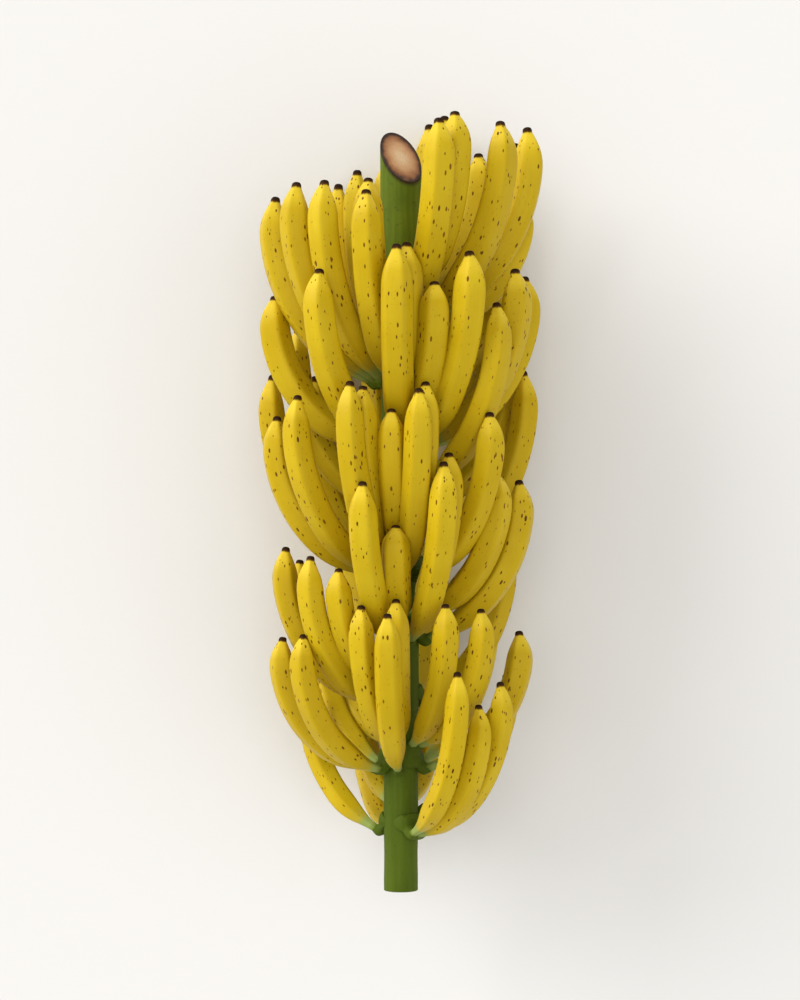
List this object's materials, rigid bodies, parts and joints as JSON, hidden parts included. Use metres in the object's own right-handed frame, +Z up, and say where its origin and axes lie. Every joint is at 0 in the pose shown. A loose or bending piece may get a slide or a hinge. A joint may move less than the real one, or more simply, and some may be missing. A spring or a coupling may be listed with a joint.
{
  "type": "bunch of bananas",
  "caption": "Whole cut bunch of ripe bananas lying on its back: a straight green stalk ringed by crowns, with curved yellow fingers that rise along it.",
  "frame": {"origin": "on the surface that the bunch lies on, under the middle of its outline seen from above", "axes": "+Y runs along the stalk from its square lower end to its slanted thick end, which is also the way the fingers point; +Z is up, away from the surface"},
  "size_m": [0.2858, 0.7886, 0.2691],
  "materials": {
    "banana_peel": "satin, waxy ripe peel",
    "stalk_green": "matt, fresh green stem"
  },
  "bodies": {
    "root": {"stalk": "stalk_green", "hand_1": "banana_peel", "hand_2": "banana_peel", "hand_3": "banana_peel", "hand_4": "banana_peel", "hand_5": "banana_peel", "hand_6": "banana_peel", "hand_7": "banana_peel", "hand_8": "banana_peel", "hand_9": "banana_peel"}
  },
  "joints": []
}
